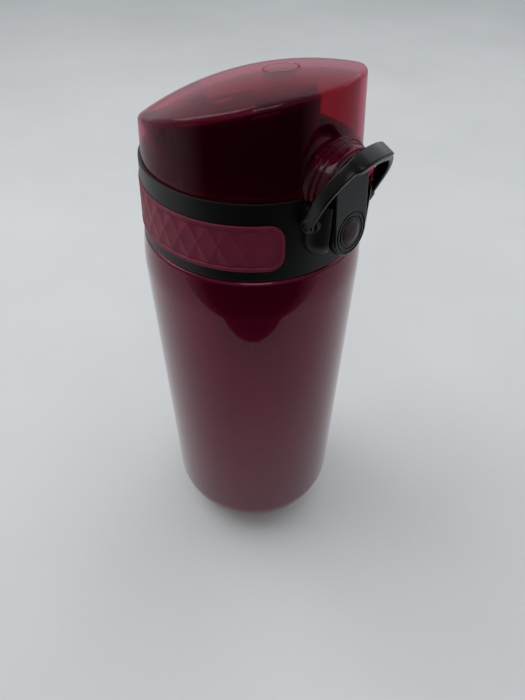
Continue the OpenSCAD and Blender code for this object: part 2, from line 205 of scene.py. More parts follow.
def about_x(angle, y, z):
    c, s = math.cos(angle), math.sin(angle)
    return lambda v: (v[0], y + (v[1] - y) * c - (v[2] - z) * s, z + (v[1] - y) * s + (v[2] - z) * c)


def axis_x(x, y, z):
    """Stands a shape turned about Z on the X axis, at a place."""
    return lambda v: (x + v[2], y + v[1], z - v[0])


def plate_data(outline, y0, y1, edge, n=5):
    """A plate in the XZ plane between y0 (front) and y1, its outline convex and its rims rounded."""
    pts = np.array(outline, float)
    nxt, prv = np.roll(pts, -1, 0), np.roll(pts, 1, 0)
    tan = nxt - prv
    nrm = np.c_[tan[:, 1], -tan[:, 0]]
    nrm /= np.linalg.norm(nrm, axis=1)[:, None]
    centre = pts.mean(0)
    if ((pts - centre) * nrm).sum() < 0:
        nrm = -nrm
    rings = [(edge + 0.15, y0)]
    rings += [(edge * (1 - math.sin(a)), y0 + edge * (1 - math.cos(a)))
              for a in [pi / 2 * k / n for k in range(n + 1)]]
    rings += [(edge * (1 - math.cos(a)), y1 - edge * (1 - math.sin(a)))
              for a in [pi / 2 * k / n for k in range(n + 1)]]
    rings += [(edge + 0.15, y1)]
    verts, faces = [], []
    count = len(pts)
    for inset, y in rings:
        ring = pts - nrm * inset
        verts.extend((float(p[0]), y, float(p[1])) for p in ring)
    for i in range(len(rings) - 1):
        for k in range(count):
            a, b = i * count + k, i * count + (k + 1) % count
            faces.append((a, b, b + count, a + count))
    faces.append(tuple(range(count - 1, -1, -1)))
    faces.append(tuple(range((len(rings) - 1) * count, len(rings) * count)))
    return verts, faces


def sweep_data(path, section):
    """Sweeps a closed section along an open path and caps its ends.

    path holds (point, across, up) frames and section (a, b) offsets.
    """
    verts, faces = [], []
    count = len(section)
    for p, across, up in path:
        p, across, up = np.array(p), np.array(across), np.array(up)
        verts.extend(tuple(p + across * a + up * b) for a, b in section)
    for i in range(len(path) - 1):
        for k in range(count):
            m = (k + 1) % count
            faces.append((i * count + k, i * count + m, (i + 1) * count + m, (i + 1) * count + k))
    faces.append(tuple(range(count - 1, -1, -1)))
    faces.append(tuple(range((len(path) - 1) * count, len(path) * count)))
    return verts, faces


def outward(ob):
    """Turns every face of a closed mesh outward."""
    bm = bmesh.new()
    bm.from_mesh(ob.data)
    bmesh.ops.recalc_face_normals(bm, faces=bm.faces)
    bm.to_mesh(ob.data)
    bm.free()
    ob.data.update()
    return ob


def boolean(ob, other, operation):
    """Applies a boolean, splits its many-sided faces and removes the cutter."""
    mod = ob.modifiers.new("cut", "BOOLEAN")
    mod.operation = operation
    mod.solver = "EXACT"
    mod.object = other
    dg = bpy.context.evaluated_depsgraph_get()
    me = bpy.data.meshes.new_from_object(ob.evaluated_get(dg))
    ob.modifiers.clear()
    bm = bmesh.new()
    bm.from_mesh(me)
    bmesh.ops.triangulate(bm, faces=[f for f in bm.faces if len(f.verts) > 4])
    bm.to_mesh(me)
    bm.free()
    old = ob.data
    ob.data = me
    bpy.data.meshes.remove(old)
    bpy.data.objects.remove(other)
    return ob


def weld(ob, gap=1e-6):
    """Joins corners that a boolean left a hair apart and removes the faces with no area between them."""
    bm = bmesh.new()
    bm.from_mesh(ob.data)
    bmesh.ops.remove_doubles(bm, verts=bm.verts, dist=gap)
    bmesh.ops.dissolve_degenerate(bm, edges=bm.edges, dist=gap)
    bmesh.ops.triangulate(bm, faces=[f for f in bm.faces if len(f.verts) > 4])
    bm.to_mesh(ob.data)
    bm.free()
    return ob


def resharpen(ob, angle):
    for p in ob.data.polygons:
        p.use_smooth = True
    ob.data.set_sharp_from_angle(angle=math.radians(angle))
    return ob


def solid(name, data, sharp=32.0):
    return resharpen(outward(make(name, *data)), sharp)


# ---------------------------------------------------------------- material helpers
class Nodes:
    """A short way to build a node tree."""

    def __init__(self, name):
        self.mat = bpy.data.materials.new(name)
        self.mat.use_nodes = True
        self.t = self.mat.node_tree
        self.t.nodes.clear()
        self.out = self.t.nodes.new("ShaderNodeOutputMaterial")

    def add(self, kind, **sets):
        n = self.t.nodes.new(kind)
        for k, v in sets.items():
            setattr(n, k, v)
        return n

    def link(self, a, b):
        self.t.links.new(a, b)

    def value(self, socket, v):
        if isinstance(v, bpy.types.NodeSocket):
            self.link(v, socket)
        else:
            socket.default_value = v

    def math(self, op, a, b=0.0, clamp=False):
        n = self.add("ShaderNodeMath", operation=op, use_clamp=clamp)
        self.value(n.inputs[0], a)
        self.value(n.inputs[1], b)
        return n.outputs[0]

    def coords(self):
        return self.add("ShaderNodeNewGeometry").outputs["Position"]

    def object_coords(self):
        return self.add("ShaderNodeTexCoord").outputs["Object"]

    def noise(self, scale, detail=2.0, rough=0.5, vector=None):
        n = self.add("ShaderNodeTexNoise")
        n.inputs["Scale"].default_value = scale
        n.inputs["Detail"].default_value = detail
        n.inputs["Roughness"].default_value = rough
        self.link(vector if vector is not None else self.object_coords(), n.inputs["Vector"])
        return n.outputs["Fac"]

    def ramp(self, fac, a, b):
        n = self.add("ShaderNodeValToRGB")
        n.color_ramp.elements[0].position = a
        n.color_ramp.elements[1].position = b
        n.color_ramp.elements[0].color = (0, 0, 0, 1)
        n.color_ramp.elements[1].color = (1, 1, 1, 1)
        self.link(fac, n.inputs[0])
        return n.outputs[0]

    def mix(self, fac, a, b):
        n = self.add("ShaderNodeMix", data_type="RGBA")
        self.value(n.inputs[0], fac)
        self.value(n.inputs[6], a)
        self.value(n.inputs[7], b)
        return n.outputs[2]

    def bump(self, height, strength, distance, normal=None):
        n = self.add("ShaderNodeBump")
        n.inputs["Strength"].default_value = strength
        n.inputs["Distance"].default_value = distance
        self.link(height, n.inputs["Height"])
        if normal is not None:
            self.link(normal, n.inputs["Normal"])
        return n.outputs[0]

    def bevel(self, radius):
        n = self.add("ShaderNodeBevel", samples=6)
        n.inputs["Radius"].default_value = radius
        return n.outputs[0]

    def principled(self, **sets):
        n = self.add("ShaderNodeBsdfPrincipled")
        for k, v in sets.items():
            self.value(n.inputs[k.replace("_", " ")], v)
        self.link(n.outputs[0], self.out.inputs[0])
        return n


def rgb(r, g, b):
    return (r, g, b, 1.0)


def scratches(m, scale, turn, width, keep):
    """Fine straight marks: a stretched noise thresholded to thin lines."""
    mp = m.add("ShaderNodeMapping")
    m.link(m.object_coords(), mp.inputs[0])
    mp.inputs["Rotation"].default_value = turn
    mp.inputs["Scale"].default_value = (scale, scale * 0.035, scale)
    n = m.noise(1.0, 1.0, 0.5, mp.outputs[0])
    line = m.math("LESS_THAN", m.math("ABSOLUTE", m.math("SUBTRACT", n, 0.5)), width)
    patch = m.math("GREATER_THAN", m.noise(scale * 0.03, 1.0), keep)
    return m.math("MULTIPLY", line, patch)


def body_paint():
    m = Nodes("burgundy_paint")
    flake = m.add("ShaderNodeTexVoronoi")
    flake.inputs["Scale"].default_value = 3200.0
    m.link(m.object_coords(), flake.inputs["Vector"])
    sparkle = m.math("MULTIPLY", m.math("GREATER_THAN", flake.outputs["Color"], 0.8), 0.16)
    cloud = m.noise(26.0, 3.0)
    base = m.mix(m.ramp(cloud, 0.3, 0.75), rgb(0.104, 0.0008, 0.017), rgb(0.130, 0.0011, 0.022))
    base = m.mix(sparkle, base, rgb(0.38, 0.008, 0.075))
    dust = m.add("ShaderNodeTexVoronoi")
    dust.inputs["Scale"].default_value = 210.0
    m.link(m.object_coords(), dust.inputs["Vector"])
    speck = m.math("MULTIPLY", m.math("LESS_THAN", dust.outputs["Distance"], 0.035),
                   m.math("GREATER_THAN", m.noise(60.0, 0.0), 0.62))
    marks = scratches(m, 420.0, (0.3, 0.5, 0.2), 0.006, 0.66)
    base = m.mix(m.math("MULTIPLY", speck, 0.55), base, rgb(0.5, 0.42, 0.43))
    base = m.mix(m.math("MULTIPLY", marks, 0.25), base, rgb(0.5, 0.2, 0.25))
    rough = m.math("ADD", m.math("MULTIPLY", m.noise(90.0, 4.0, 0.6), 0.08), 0.22)
    peel = m.bump(m.noise(420.0, 2.0), 0.05, 0.0002)
    coat_peel = m.bump(m.noise(260.0, 1.0), 0.03, 0.0002)
    m.principled(Base_Color=base, Metallic=0.6, Roughness=rough, Coat_Weight=1.0, Coat_Roughness=0.04,
                 Coat_IOR=1.33, Specular_IOR_Level=0.0, Normal=peel, Coat_Normal=coat_peel)
    return m.mat


def black_plastic(name="satin_black", rough=0.36, bevel=0.00035):
    m = Nodes(name)
    grain = m.noise(2600.0, 2.0, 0.6)
    patch = m.noise(70.0, 3.0)
    base = m.mix(m.ramp(patch, 0.35, 0.7), rgb(0.0030, 0.0032, 0.0034), rgb(0.0052, 0.0055, 0.0057))
    marks = scratches(m, 700.0, (0.7, 0.2, 0.9), 0.006, 0.62)
    base = m.mix(m.math("MULTIPLY", marks, 0.2), base, rgb(0.06, 0.06, 0.06))
    r = m.math("ADD", m.math("MULTIPLY", patch, 0.12), rough - 0.06)
    normal = m.bump(grain, 0.12, 0.00006, m.bevel(bevel))
    m.principled(Base_Color=base, Roughness=r, Specular_IOR_Level=0.25, Normal=normal)
    return m.mat


def rubber(name, lo, hi):
    m = Nodes(name)
    grain = m.noise(3400.0, 3.0, 0.7)
    base = m.mix(m.ramp(m.noise(120.0, 4.0, 0.6), 0.3, 0.72), lo, hi)
    normal = m.bump(grain, 0.25, 0.00005, m.bevel(0.0002))
    m.principled(Base_Color=base, Roughness=m.math("ADD", m.math("MULTIPLY", grain, 0.15), 0.48),
                 Sheen_Weight=0.03, Specular_IOR_Level=0.35, Sheen_Roughness=0.4, Normal=normal)
    return m.mat


def silicone():
    m = Nodes("silicone")
    base = m.mix(m.noise(150.0, 3.0), rgb(0.42, 0.41, 0.39), rgb(0.5, 0.49, 0.47))
    m.principled(Base_Color=base, Roughness=0.5, Subsurface_Weight=0.2,
                 Subsurface_Radius=(0.001, 0.001, 0.001),
                 Normal=m.bump(m.noise(1800.0), 0.1, 0.00005, m.bevel(0.0002)))
    return m.mat


def steel():
    m = Nodes("plain_steel")
    lines = m.noise(900.0, 3.0, 0.6)
    m.principled(Base_Color=m.mix(lines, rgb(0.5, 0.5, 0.51), rgb(0.62, 0.62, 0.63)), Metallic=1.0,
                 Roughness=m.math("ADD", m.math("MULTIPLY", lines, 0.2), 0.22),
                 Normal=m.bump(lines, 0.08, 0.00005))
    return m.mat


def tinted(name, tint, rough, haze, haze_amount, line_angle=None):
    """Clear coloured plastic: each surface passes its tint straight through and mirrors more at a glance."""
    m = Nodes(name)
    facing = m.add("ShaderNodeLayerWeight")
    facing.inputs["Blend"].default_value = 0.5
    weight = m.math("POWER", facing.outputs["Facing"], 5.0)
    fresnel = m.math("ADD", m.math("MULTIPLY", weight, 0.55), 0.019, clamp=True)
    swirl = m.noise(24.0, 3.0, 0.55)
    deep = tuple(c ** 1.35 for c in tint[:3]) + (1.0,)
    colour = m.mix(m.ramp(swirl, 0.35, 0.7), tint, tuple(c ** 1.12 for c in tint[:3]) + (1.0,))
    colour = m.mix(m.math("POWER", facing.outputs["Facing"], 2.0), colour, deep)
    if line_angle is not None:
        sep = m.add("ShaderNodeSeparateXYZ")
        m.link(m.object_coords(), sep.inputs[0])
        angle = m.math("ARCTAN2", sep.outputs["Y"], sep.outputs["X"])
        away = m.math("ABSOLUTE", m.math("SUBTRACT", angle, line_angle))
        colour = m.mix(m.math("MULTIPLY", m.math("LESS_THAN", away, 0.007), 0.6), colour, deep)
    clear = m.add("ShaderNodeBsdfTransparent")
    m.link(colour, clear.inputs[0])
    marks = scratches(m, 520.0, (0.9, 0.1, 0.4), 0.006, 0.6)
    gloss = m.add("ShaderNodeBsdfGlossy")
    gloss.inputs["Color"].default_value = (1, 1, 1, 1)
    m.value(gloss.inputs["Roughness"], m.math("ADD", m.math("MULTIPLY", marks, 0.2), rough))
    m.link(m.bump(m.noise(140.0, 2.0), 0.03, 0.0003, m.bevel(0.0004)), gloss.inputs["Normal"])
    body = m.add("ShaderNodeBsdfDiffuse")
    body.inputs["Color"].default_value = haze
    inner = m.add("ShaderNodeMixShader")
    m.value(inner.inputs[0], m.math("ADD", m.math("MULTIPLY", marks, 0.12), haze_amount))
    m.link(clear.outputs[0], inner.inputs[1])
    m.link(body.outputs[0], inner.inputs[2])
    top = m.add("ShaderNodeMixShader")
    m.link(fresnel, top.inputs[0])
    m.link(inner.outputs[0], top.inputs[1])
    m.link(gloss.outputs[0], top.inputs[2])
    m.link(top.outputs[0], m.out.inputs[0])
    return m.mat


MATERIALS = {
    "body_paint": body_paint(),
    "black_plastic": black_plastic(),
    "inner_plastic": black_plastic("inner_black", 0.5),
    "gloss_black": black_plastic("gloss_black", 0.22),
    "spout_plastic": black_plastic("spout_dark", 0.32),
    "grip_rubber": rubber("maroon_rubber", rgb(0.150, 0.0080, 0.030), rgb(0.190, 0.0110, 0.038)),
    "seal_silicone": silicone(),
    "steel": steel(),
    "lid_plastic": tinted("crimson_clear", rgb(0.73, 0.085, 0.33), 0.025, rgb(0.30, 0.002, 0.07), 0.04,
                          math.radians(-152)),
    "seal_dark": rubber("black_silicone", rgb(0.012, 0.012, 0.013), rgb(0.02, 0.02, 0.021)),
    # lens: the faint pink left in the tint is the lens's own clear colour; the grey in its tint and the heavy grey
    # haze (0.45) are painted reflection of its glossy dome
    "lens_plastic": tinted("lens_clear_painted_grey_reflection", rgb(0.34, 0.20, 0.23), 0.03, rgb(0.10, 0.075, 0.082), 0.45),
}


def dress(ob, slot_name, body, node, look=None):
    """Gives a piece its material and the body it rides on, and hides the CAD node it stands for."""
    ob.data.materials.clear()
    ob.data.materials.append(MATERIALS[look or slot_name])
    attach(ob, body)
    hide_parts(node)


# ---------------------------------------------------------------- carried-over CAD nodes
slots = {s["node"]: s["material_slot"] for s in frame["record"]["subparts"]}
for name, ob in frame["nodes"].items():
    for slot in ob.material_slots:
        slot.material = MATERIALS[slots[name]]
    if not ob.material_slots:
        ob.data.materials.append(MATERIALS[slots[name]])
post = tinted("crimson_post", rgb(0.95, 0.72, 0.80), 0.05, rgb(0.30, 0.006, 0.06), 0.03)
for slot in frame["nodes"]["seal_post"].material_slots:
    slot.material = post


# ---------------------------------------------------------------- bottle body
def body_profile(t):
    """Half outline of the bottle shrunk by t, from the base's middle up to the neck's foot."""
    if t == 0:
        pts = rounded([(0.0, 1.2), (10.4, 1.2), (11.4, 0.0), (13.0, 0.0)], [0, 0.5, 0.5, 0], 4)
    else:
        pts = rounded([(0.0, 1.2 + t), (10.4 + t, 1.2 + t), (11.4 + t, t), (13.5, t)], [0, 0.4, 0.4, 0], 4)
    pts += arc(BODY_R - BASE_R, BASE_R, BASE_R - t, -90, 0, 36)
    pts += [(BODY_R - t, BASE_R + (STRAIGHT - BASE_R) * k / 12) for k in range(1, 12)]
    top = SHOULDER_H - SHOULDER_EDGE
    a = math.degrees(math.asin(top / SHOULDER_R))
    pts += arc(BODY_R - SHOULDER_R, STRAIGHT, SHOULDER_R - t, 0, a, 20)
    x = BODY_R - SHOULDER_R + SHOULDER_R * math.cos(math.radians(a)) - SHOULDER_EDGE
    return pts + arc(x, STRAIGHT + top, SHOULDER_EDGE - min(t, 1.2), a, 90, 8)


outer, inner = body_profile(0), body_profile(WALL)
outer += arc(NECK_R + 0.8, NECK_FOOT + 0.8, 0.8, 270, 180, 6)
outer += arc(NECK_R - 1.0, NECK_TOP - 1.0, 1.0, 0, 180, 12)
inner += [(NECK_R - WALL, NECK_FOOT - WALL), (NECK_R - WALL, NECK_TOP - 1.6)]
profile = outer + inner[::-1]
thread_path = []
section = rounded([(-0.5, -1.0), (1.2, -0.4), (1.2, 0.4), (-0.5, 1.0)], 0.25, 3)
for k in range(THREAD_STEPS + 1):
    a = 2 * pi * THREAD_TURNS * k / THREAD_STEPS
    grow = min(1.0, k / THREAD_FADE, (THREAD_STEPS - k) / THREAD_FADE)
    out = np.array([math.cos(a), math.sin(a), 0.0])
    z = THREAD_Z + THREAD_PITCH * THREAD_TURNS * k / THREAD_STEPS
    p = out * (NECK_R - 0.45 * (1 - grow)) + np.array([0, 0, z])
    thread_path.append((p, out * (0.35 + 0.65 * grow), np.array([0, 0, 0.5 + 0.5 * grow])))
bottle = solid("bottle_shell", join(lathe_data(profile, 256), sweep_data(thread_path, section)), 40)
dress(bottle, "body_paint", "bottle", "bottle_body")


# ---------------------------------------------------------------- lid
def lid_form(side, roof, fillet, z0, steps=256):
    """The lid's closed outline: tapering wall, rolling-ball edge and dome, shrunk by side and roof."""
    dome_a = LID_R - 0.75
    dome_r = (dome_a ** 2 + DOME_H ** 2) / (2 * DOME_H)
    sy = -(dome_r - DOME_H) * math.sin(TILT)
    sz = EDGE_Z - (dome_r - DOME_H) * math.cos(TILT)
    big = dome_r - roof
    centre = np.array([0.0, sy, sz])
    pole = np.array([0.0, math.sin(TILT), math.cos(TILT)])
    half = math.atan(LID_TAPER)
    wall_rows, edge_rows, dome_rows = 10, 12, 32
    verts, faces = [], []
    cols = []
    for k in range(steps):
        a = 2 * pi * k / steps
        u = np.array([math.cos(a), math.sin(a), 0.0])
        lo, hi = z0, z0 + 40.0
        for _ in range(60):
            z = (lo + hi) / 2
            rr = LID_R - side - (z - LID_Z) * LID_TAPER - fillet / math.cos(half)
            c = u * rr + np.array([0, 0, z])
            if np.linalg.norm(c - centre) < big - fillet:
                lo = z
            else:
                hi = z
        n1 = u * math.cos(half) + np.array([0, 0, math.sin(half)])
        n2 = (c - centre) / np.linalg.norm(c - centre)
        first = c + n1 * fillet
        col = []
        for i in range(wall_rows + 1):
            z = z0 + (first[2] - z0) * i / wall_rows
            col.append(u * (LID_R - side - (z - LID_Z) * LID_TAPER) + np.array([0, 0, z]))
        ang = math.acos(max(-1, min(1, float(n1 @ n2))))
        for i in range(1, edge_rows + 1):
            s = i / edge_rows
            col.append(c + fillet * (math.sin((1 - s) * ang) * n1 + math.sin(s * ang) * n2) / math.sin(ang))
        ang = math.acos(max(-1, min(1, float(n2 @ pole))))
        for i in range(1, dome_rows):
            s = i / dome_rows
            d = (math.sin((1 - s) * ang) * n2 + math.sin(s * ang) * pole) / math.sin(ang)
            col.append(centre + big * d)
        cols.append(col)
    depth = len(cols[0])
    for col in cols:
        verts.extend(tuple(p) for p in col)
    top = len(verts)
    verts.append(tuple(centre + big * pole))
    bottom = len(verts)
    verts.append((0.0, 0.0, z0))
    for k in range(steps):
        a, b = k * depth, ((k + 1) % steps) * depth
        for i in range(depth - 1):
            faces.append((a + i, b + i, b + i + 1, a + i + 1))
        faces.append((a + depth - 1, b + depth - 1, top))
        faces.append((b, a, bottom))
    return verts, faces


def nose_profile():
    root = NOSE_ROOT
    pts = [(0.0, root), (NOSE_R + 1.1, root), (NOSE_R + 1.1, root - 2.4), (NOSE_R + 0.5, root - 2.4),
           (NOSE_R + 0.5, root - 3.8), (NOSE_R, root - 3.8), (NOSE_R, NOSE_FRONT), (NOSE_R - 1.8, NOSE_FRONT),
           (NOSE_R - 1.8, NOSE_FRONT + 3.5), (0.0, NOSE_FRONT + 3.5)]
    return rounded(pts, [0, 0, 0.45, 0.2, 0.45, 0.2, 0.5, 0.35, 0.5, 0], 5)


def block_data(x0, x1, y0, y1, z0, z1):
    v = [(x, y, z) for x in (x0, x1) for y in (y0, y1) for z in (z0, z1)]
    return v, [(0, 1, 3, 2), (4, 6, 7, 5), (0, 4, 5, 1), (2, 3, 7, 6), (0, 2, 6, 4), (1, 5, 7, 3)]


def block(name, *box):
    return outward(make(name, *block_data(*box)))


def front_slab(z0, z1):
    """A cutter over the whole nose between two heights."""
    return block("cut", -30, 30, -60, -20, z0, z1)


def rod(name, r, x0, x1, y, z, edge=0.0):
    pts = [(0.0, x0), (r, x0), (r, x1), (0.0, x1)]
    data = lathe_data(rounded(pts, [0, edge, edge, 0], 4), 64, False)
    return outward(make(name, *moved(data, axis_x(0.0, y, z))))


lid = solid("lid_cover", lid_form(0.0, 0.0, LID_FILLET, LID_Z))
nose = solid("nose", moved(lathe_data(nose_profile(), 160, False), lambda v: (v[0], v[2], NOSE_Z + v[1])))
nose = boolean(nose, front_slab(NOSE_Z - 40, LID_Z), "DIFFERENCE")
lid = boolean(lid, nose, "UNION")
skirt = solid("skirt", moved(lathe_data(rounded(
    [(NOSE_R - 1.76, NOSE_FRONT + 0.04), (NOSE_R - 0.04, NOSE_FRONT + 0.04),
     (NOSE_R - 0.04, -RING_R1 - 0.5), (NOSE_R - 1.76, -RING_R1 - 0.5)],
    [0.35, 0.5, 0.2, 0.2], 4), 160), lambda v: (v[0], v[2], NOSE_Z + v[1])))
skirt = boolean(skirt, front_slab(NOSE_Z - 40, RING_Z1 - 0.9), "DIFFERENCE")
skirt = boolean(skirt, front_slab(LID_Z + 1.0, NOSE_Z + 40), "DIFFERENCE")
lid = boolean(lid, skirt, "UNION")
for side in (-1, 1):
    x0, x1 = sorted((side * 4.2, side * 7.8))
    lid = boolean(lid, rod("knuckle", 3.1, x0, x1, HINGE[1], HINGE[2], 0.4), "UNION")
    lid = boolean(lid, block("web", x0 + 0.57, x1 - 0.57, LID_R - 1.6, HINGE[1] - 0.13, LID_Z + 0.04,
                               HINGE[2] + 2.83), "UNION")
lid = boolean(lid, block("ledge", -NOSE_R + 1, NOSE_R - 1, NOSE_FRONT + 2.43, NOSE_FRONT + 4.37,
                         LID_Z + 0.06, LID_Z + 1.8), "UNION")
lid = boolean(lid, solid("hollow", lid_form(LID_WALL, LID_ROOF, 2.0, LID_Z - 2.0)), "DIFFERENCE")
lid = boolean(lid, rod("bore", 1.3, -9.0, 9.0, HINGE[1], HINGE[2]), "DIFFERENCE")
slot = block("slot", 2.45, 3.85, LID_R - 4.0, BODY_R + 6, LID_Z - 1, HINGE[2] + 2.7)
lid = boolean(lid, slot, "DIFFERENCE")


def on_slope(v):
    """From the seal's own frame, square to the spout's sloping top, to the row frame."""
    c, s = math.cos(-TILT), math.sin(-TILT)
    return (v[0], POST_Y + v[1] * c - v[2] * s, SPOUT_TOP - POST_Y * math.tan(TILT) + v[1] * s + v[2] * c)


for r, z0, z1 in ((4.75, 6.9, 20.0), (3.05, -1.0, 9.0)):
    hole = lathe_data([(0.0, z0), (r, z0), (r, z1), (0.0, z1)], 96, False)
    lid = boolean(lid, solid("hole", moved(hole, on_slope)), "DIFFERENCE")
resharpen(weld(lid), 34)
dress(lid, "lid_plastic", "lid", "lid_shell")


# ---------------------------------------------------------------- grips
def grip_data(side):
    start, end = math.radians(29.0), math.radians(151.0)
    z0, z1 = grip_lo[2], grip_hi[2]
    reach = (RING_R0 + RING_R1) / 2

    def place(a, z, out):
        r = ring_r(z) + out
        return (side * r * math.sin(a), -r * math.cos(a), z)

    # outline in (length round the ring, height)
    l0, l1 = start * reach, end * reach
    corner = 4.5
    outline = []
    for cx, cz, a0 in ((l1 - corner, z0 + corner, -90), (l1 - corner, z1 - corner, 0),
                       (l0 + corner, z1 - corner, 90), (l0 + corner, z0 + corner, 180)):
        outline += arc(cx, cz, corner, a0, a0 + 90, 14)
    dense = []
    for i, p in enumerate(outline):
        q = outline[(i + 1) % len(outline)]
        n = max(1, int(math.hypot(q[0] - p[0], q[1] - p[1]) / 0.8))
        dense += [(p[0] + (q[0] - p[0]) * k / n, p[1] + (q[1] - p[1]) * k / n) for k in range(n)]
    pts = np.array(dense)
    tan = np.roll(pts, -1, 0) - np.roll(pts, 1, 0)
    nrm = np.c_[tan[:, 1], -tan[:, 0]]
    nrm /= np.linalg.norm(nrm, axis=1)[:, None]
    border = [(0.05, -0.7), (0.05, 0.10)]
    border += [(0.3 - 0.25 * math.cos(a), 0.1 + 0.25 * math.sin(a)) for a in (0.4, 0.8, 1.2, pi / 2)]
    border += [(0.95 + 0.25 * math.sin(a), 0.1 + 0.25 * math.cos(a)) for a in (0.0, 0.4, 0.8, 1.2)]
    border += [(1.25, 0.05), (1.25, -0.7)]
    verts, faces = [], []
    count = len(border)
    for p, n in zip(pts, nrm):
        for d, h in border:
            q = p - n * d
            verts.append(place(q[0] / reach, q[1], h))
    for i in range(len(pts)):
        j = (i + 1) % len(pts)
        for k in range(count):
            m = (k + 1) % count
            faces.append((i * count + k, j * count + k, j * count + m, i * count + m))
    frame_part = (verts, faces)

    # floor of the panel, a sheet with thickness under the relief
    verts, faces = [], []
    na, nz = 120, 6
    for out in (-0.02, -0.7):
        for i in range(na + 1):
            for k in range(nz + 1):
                a = start + math.radians(1.6) + (end - start - math.radians(3.2)) * i / na
                z = z0 + 1.0 + (z1 - z0 - 2.0) * k / nz
                inside = min(1.0, min(i, na - i) / 5.0)
                mid = (z0 + z1) / 2
                z = mid + (z - mid) * (0.72 + 0.28 * inside ** 0.5)
                verts.append(place(a, z, out))
    sheet = (na + 1) * (nz + 1)
    for s in (0, 1):
        for i in range(na):
            for k in range(nz):
                a = s * sheet + i * (nz + 1) + k
                faces.append((a, a + 1, a + nz + 2, a + nz + 1) if s else (a, a + nz + 1, a + nz + 2, a + 1))
    rim = [i * (nz + 1) for i in range(na + 1)]
    rim += [na * (nz + 1) + k for k in range(1, nz + 1)]
    rim += [i * (nz + 1) + nz for i in range(na - 1, -1, -1)]
    rim += [k for k in range(nz - 1, 0, -1)]
    for i, v in enumerate(rim):
        w = rim[(i + 1) % len(rim)]
        faces.append((v, w, w + sheet, v + sheet))
    floor_part = (verts, faces)

    # relief: raised crossing lines with sunk facets between them
    zt, zb, zm = z1 - 1.55, z0 + 1.75, (z0 + z1) / 2 + 0.6
    high, dip, low, base = 0.34, 0.02, -0.12, -0.6
    first, step, cells = math.radians(35.0), math.radians(10.0), 11
    verts, faces = [], []

    def put(a, z, h):
        verts.append(place(a, z, h))
        return len(verts) - 1

    top = [put(first + step * k, zt, high) for k in range(cells + 1)]
    bot = [put(first + step * k, zb, high) for k in range(cells + 1)]
    cross = [put(first + step * (k + 0.5), zm, high) for k in range(cells)]
    mid_t = [put(first + step * (k + 0.5), zt, low) for k in range(cells)]
    mid_b = [put(first + step * (k + 0.5), zb, low) for k in range(cells)]
    heart = [put(first + step * k, zm, high if k in (0, cells) else dip) for k in range(cells + 1)]
    for k in range(cells):
        faces += [(top[k], cross[k], mid_t[k]), (mid_t[k], cross[k], top[k + 1]),
                  (bot[k], mid_b[k], cross[k]), (mid_b[k], bot[k + 1], cross[k]),
                  (top[k], heart[k], cross[k]), (heart[k], bot[k], cross[k]),
                  (top[k + 1], cross[k], heart[k + 1]), (heart[k + 1], cross[k], bot[k + 1])]
    ring = []
    for k in range(cells):
        ring += [bot[k], mid_b[k]]
    ring += [bot[cells], heart[cells]]
    for k in range(cells - 1, -1, -1):
        ring += [top[k + 1], mid_t[k]]
    ring += [top[0], heart[0]]
    low_ring = []
    for v in ring:
        x, y, z = verts[v]
        r = math.hypot(x, y)
        s = (ring_r(z) + base) / r
        verts.append((x * s, y * s, z))
        low_ring.append(len(verts) - 1)
    for i in range(len(ring)):
        j = (i + 1) % len(ring)
        faces.append((ring[i], ring[j], low_ring[j], low_ring[i]))
    # underside: strips between the bottom and top edges
    half = len(ring) // 2
    for i in range(half - 1):
        faces.append((low_ring[i], low_ring[i + 1], low_ring[len(ring) - 2 - i], low_ring[len(ring) - 1 - i]))
    return frame_part, floor_part, (verts, faces)


for side, node in ((-1, "grip_left"), (1, "grip_right")):
    frame_part, floor_part, relief = grip_data(side)
    pad = solid(node + "_pad", join(frame_part, floor_part, relief), 9)
    dress(pad, "grip_rubber", "cap", node)


# ---------------------------------------------------------------- latch lever and its lens
def lever_outline():
    head = NOSE_R - 1.8 - 0.5
    pts = arc(0.0, EYE_Z, LEVER_W, 180, 360, 40)
    rise = math.sqrt(head ** 2 - LEVER_W ** 2)
    a = math.degrees(math.asin(rise / head))
    pts += [(LEVER_W, EYE_Z + 4), (LEVER_W, NOSE_Z)]
    pts += arc(0.0, NOSE_Z, head, a, 180 - a, 24)
    pts += [(-LEVER_W, NOSE_Z), (-LEVER_W, EYE_Z + 4)]
    return pts


lean = about_x(-LEAN, LEVER[1], LEVER[2])


def on_face(depth=0.0, way=-1):
    """Stands a shape turned about Z round the eye's axis, at a depth behind the lever's face."""
    return lambda v: lean((v[0], FACE_Y + depth + way * v[2], EYE_Z + v[1]))


plate = plate_data(lever_outline(), FACE_Y, FACE_Y + 2.7, 0.75)
lever = solid("lever_plate", moved(plate, lean))
seat = lathe_data([(0.0, 0.0), (3.45, 0.0), (3.45, 4.0), (0.0, 4.0)], 64, False)
lever = boolean(lever, solid("seat", moved(seat, on_face(1.3))), "DIFFERENCE")
for r in (6.0, 4.8):
    groove = lathe_data(rounded([(r - 0.5, -0.4), (r, -0.4), (r, 2.0), (r - 0.5, 2.0)], 0.12, 3), 96)
    lever = boolean(lever, solid("groove", moved(groove, on_face())), "DIFFERENCE")
barrel = rounded([(0.0, -6.96), (1.95, -6.96), (1.95, 6.96), (0.0, 6.96)], [0, 0.3, 0.3, 0], 4)
barrel = lathe_data(barrel, 48, False)
barrel = solid("barrel", moved(barrel, axis_x(0.0, LEVER[1], LEVER[2])))
lever = boolean(lever, barrel, "UNION")
tooth = block_data(-5, 5, FACE_Y + 1.7, FACE_Y + 3.15, NOSE_Z + 2.6, NOSE_Z + 4.2)
lever = boolean(lever, outward(make("tooth", *moved(tooth, lean))), "UNION")
well = lathe_data([(0.0, 0.0), (2.6, 0.0), (2.6, 3.0), (0.0, 3.0)], 48, False)
lever = boolean(lever, solid("well", moved(well, on_face(2.0, 1))), "DIFFERENCE")
eye_bore = rod("eye_bore", 0.8, -8.0, 8.0, LEVER[1], LEVER[2])
lever = boolean(lever, eye_bore, "DIFFERENCE")
